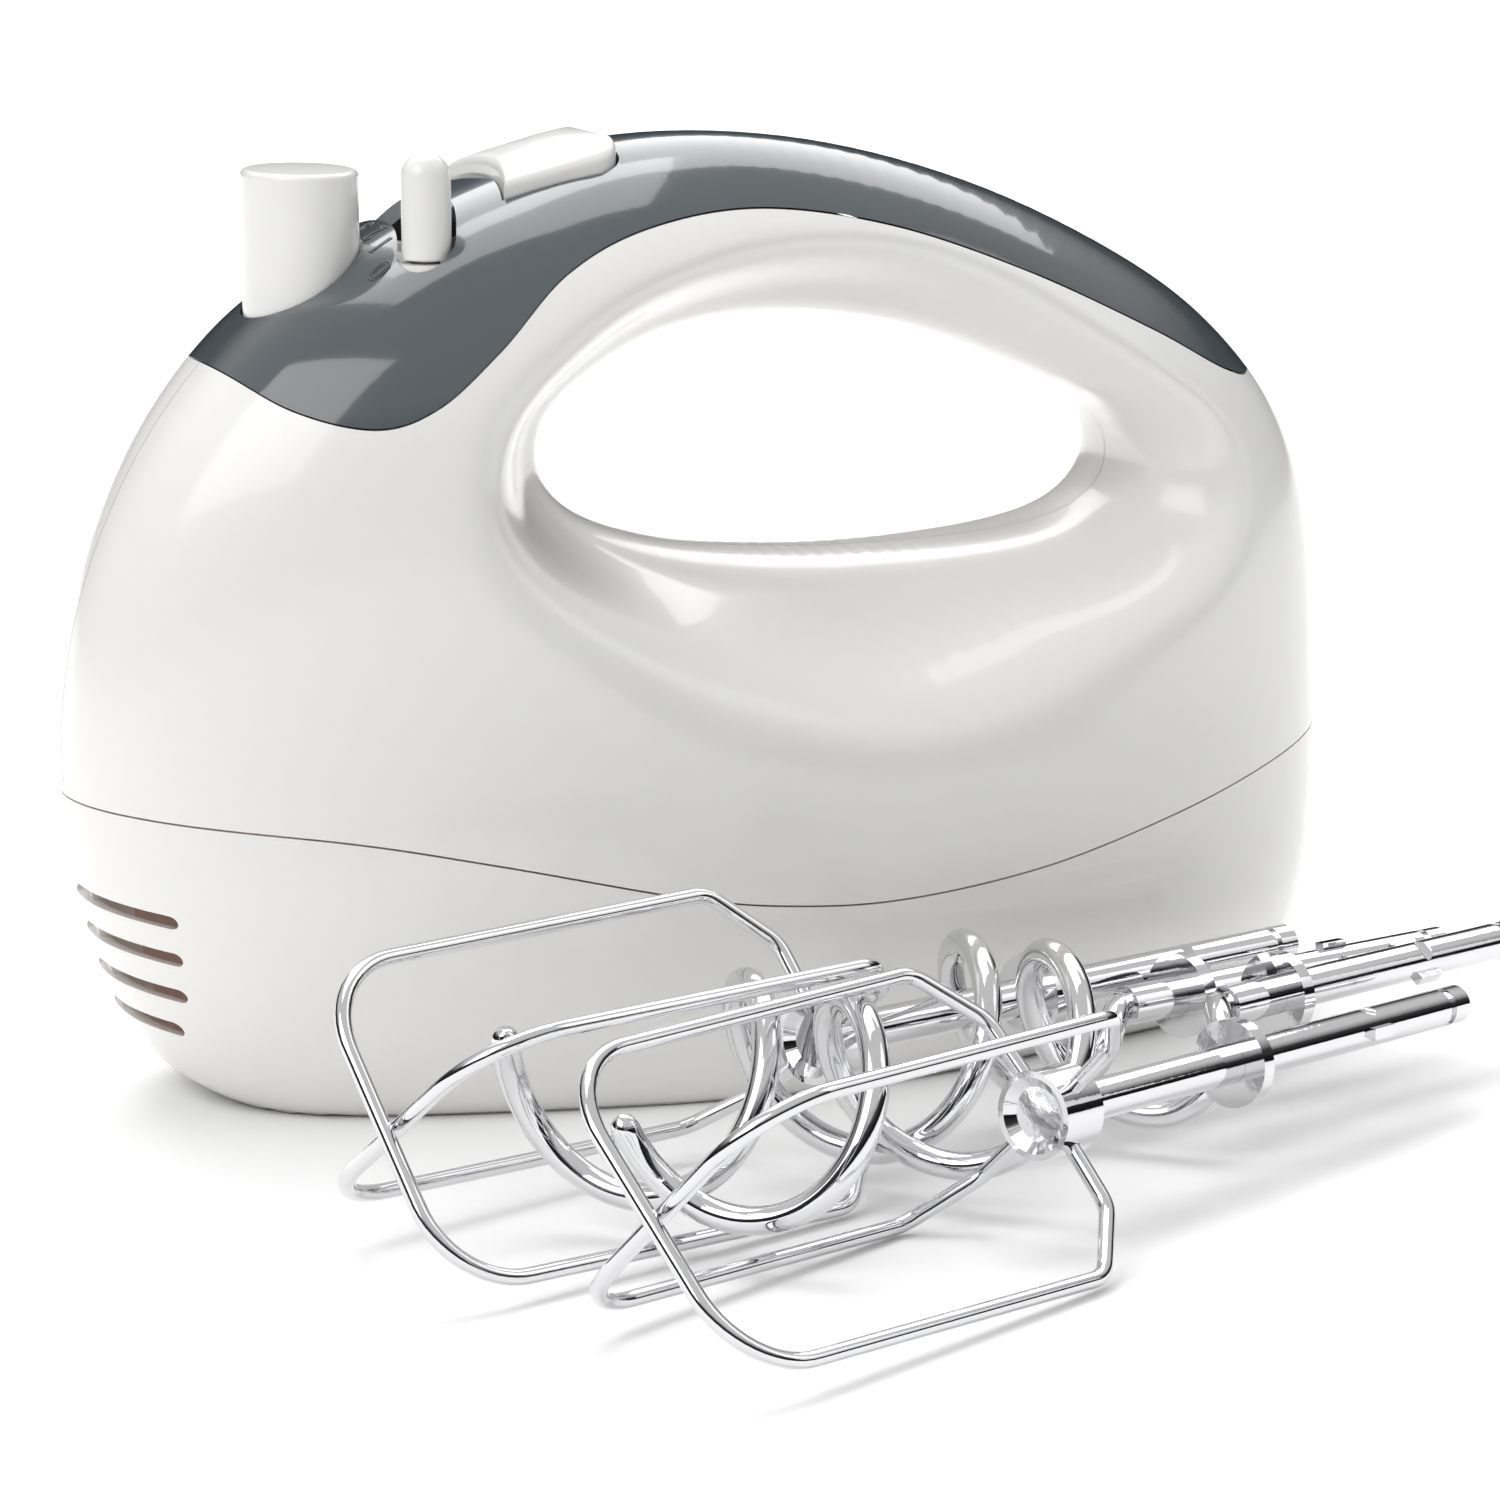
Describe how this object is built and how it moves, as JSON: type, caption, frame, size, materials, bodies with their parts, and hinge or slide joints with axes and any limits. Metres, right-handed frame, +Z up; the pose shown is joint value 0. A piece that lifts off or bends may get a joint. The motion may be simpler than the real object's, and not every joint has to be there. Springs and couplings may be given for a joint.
{
  "type": "hand mixer",
  "caption": "Hand mixer with a closed loop handle, an eject button, a slotted speed lever and a boost button, with wire beaters and spiral dough hooks lying beside it.",
  "frame": {"origin": "centre of the flat base that the mixer stands on, midway between its sides", "axes": "+Z up; the nose with the vents points to -X and the tail to +X; the attachments lie on the -Y side"},
  "size_m": [0.2244, 0.2139, 0.15],
  "materials": {
    "body_white": "glossy warm white ABS",
    "cover_grey": "glossy blue-grey ABS",
    "control_white": "glossy white ABS",
    "bright_chrome": "polished chrome-plated steel",
    "steel": "plain bright steel",
    "spring_steel": "drawn spring wire",
    "lamination": "stacked electrical steel",
    "copper": "enamelled copper winding wire and segments",
    "bronze": "sintered bronze and pressed brass",
    "nylon": "natural nylon",
    "inner_white": "matt white ABS",
    "black_plastic": "black switch plastic",
    "carbon": "pressed carbon",
    "board_green": "glass-fibre board with its parts",
    "lead_insulation": "PVC-covered leads"
  },
  "bodies": {
    "mixer": {"lower_housing": "body_white", "upper_housing_left": "body_white", "upper_housing_right": "body_white", "top_cover": "cover_grey", "speed_slot_plate": "control_white", "eject_guide": "inner_white", "cord_inlet_grommet": "control_white", "cord_clamp": "inner_white", "cord_clamp_screws": "steel", "housing_screws": "steel", "gearbox_frame": "nylon", "spindle_bushes": "bronze", "motor_bracket_front": "steel", "motor_bracket_rear": "steel", "motor_screws": "steel", "stator_core": "lamination", "field_coil_upper": "copper", "field_coil_lower": "copper", "armature_bushes": "bronze", "brush_holders": "bronze", "carbon_brushes": "carbon", "brush_springs": "spring_steel", "speed_switch": "black_plastic", "turbo_switch": "black_plastic", "circuit_board": "board_green", "wiring": "lead_insulation"},
    "eject": {"eject_button": "control_white", "ejector_bar": "steel", "eject_spring": "spring_steel"},
    "lever": {"speed_lever": "control_white", "speed_slider": "nylon"},
    "turbo": {"turbo_button": "control_white", "turbo_spring": "spring_steel"},
    "armature": {"armature_shaft": "steel", "armature_core": "lamination", "armature_windings": "copper", "commutator": "copper", "cooling_fan": "nylon"},
    "gear_left": {"drive_gear_left": "nylon", "drive_sleeve_left": "steel"},
    "gear_right": {"drive_gear_right": "nylon", "drive_sleeve_right": "steel"},
    "beater_front": {"beater_front_shaft": "bright_chrome", "beater_front_collar": "bright_chrome", "beater_front_hub": "bright_chrome", "beater_front_wires": "bright_chrome"},
    "beater_rear": {"beater_rear_shaft": "bright_chrome", "beater_rear_collar": "bright_chrome", "beater_rear_hub": "bright_chrome", "beater_rear_wires": "bright_chrome"},
    "hook_front": {"hook_front_shaft": "bright_chrome", "hook_front_collar": "bright_chrome", "hook_front_spiral": "bright_chrome"},
    "hook_rear": {"hook_rear_shaft": "bright_chrome", "hook_rear_collar": "bright_chrome", "hook_rear_spiral": "bright_chrome"}
  },
  "joints": [
    {"name": "eject_press", "type": "slide", "parent": "mixer", "child": "eject", "axis": [0, 0, -1], "range_m": [0, 0.008], "stiffness_N_per_m": 900, "springref_m": -0.003, "deforming": ["eject_spring"]},
    {"name": "speed_select", "type": "hinge", "parent": "mixer", "child": "lever", "pos_m": [-0.095, 0, 0.13], "axis": [0, 0, 1], "range_deg": [0, 42]},
    {"name": "turbo_press", "type": "slide", "parent": "mixer", "child": "turbo", "axis": [0, 0, -1], "range_m": [0, 0.0025], "stiffness_N_per_m": 700, "springref_m": -0.002, "deforming": ["turbo_spring"]},
    {"name": "armature_spin", "type": "hinge", "parent": "mixer", "child": "armature", "pos_m": [0, 0, 0.04], "axis": [1, 0, 0], "continuous": true},
    {"name": "gear_left_spin", "type": "hinge", "parent": "mixer", "child": "gear_left", "pos_m": [-0.056, -0.018, 0], "axis": [0, 0, 1], "continuous": true},
    {"name": "gear_right_spin", "type": "hinge", "parent": "mixer", "child": "gear_right", "pos_m": [-0.056, 0.018, 0], "axis": [0, 0, 1], "continuous": true},
    {"name": "beater_front_lift", "type": "slide", "parent": "mixer", "child": "beater_front", "axis": [0, 0, 1], "range_m": [0, 0.07]},
    {"name": "beater_rear_lift", "type": "slide", "parent": "mixer", "child": "beater_rear", "axis": [0, 0, 1], "range_m": [0, 0.07]},
    {"name": "hook_front_lift", "type": "slide", "parent": "mixer", "child": "hook_front", "axis": [0, 0, 1], "range_m": [0, 0.07]},
    {"name": "hook_rear_lift", "type": "slide", "parent": "mixer", "child": "hook_rear", "axis": [0, 0, 1], "range_m": [0, 0.07]}
  ],
  "couplings": [
    {"joint": "gear_left_spin", "follows": "armature_spin", "ratio": 0.037037},
    {"joint": "gear_right_spin", "follows": "armature_spin", "ratio": -0.037037},
    {"joint": "beater_rear_lift", "follows": "beater_front_lift", "ratio": 1},
    {"joint": "hook_front_lift", "follows": "beater_front_lift", "ratio": 1},
    {"joint": "hook_rear_lift", "follows": "beater_front_lift", "ratio": 1}
  ]
}
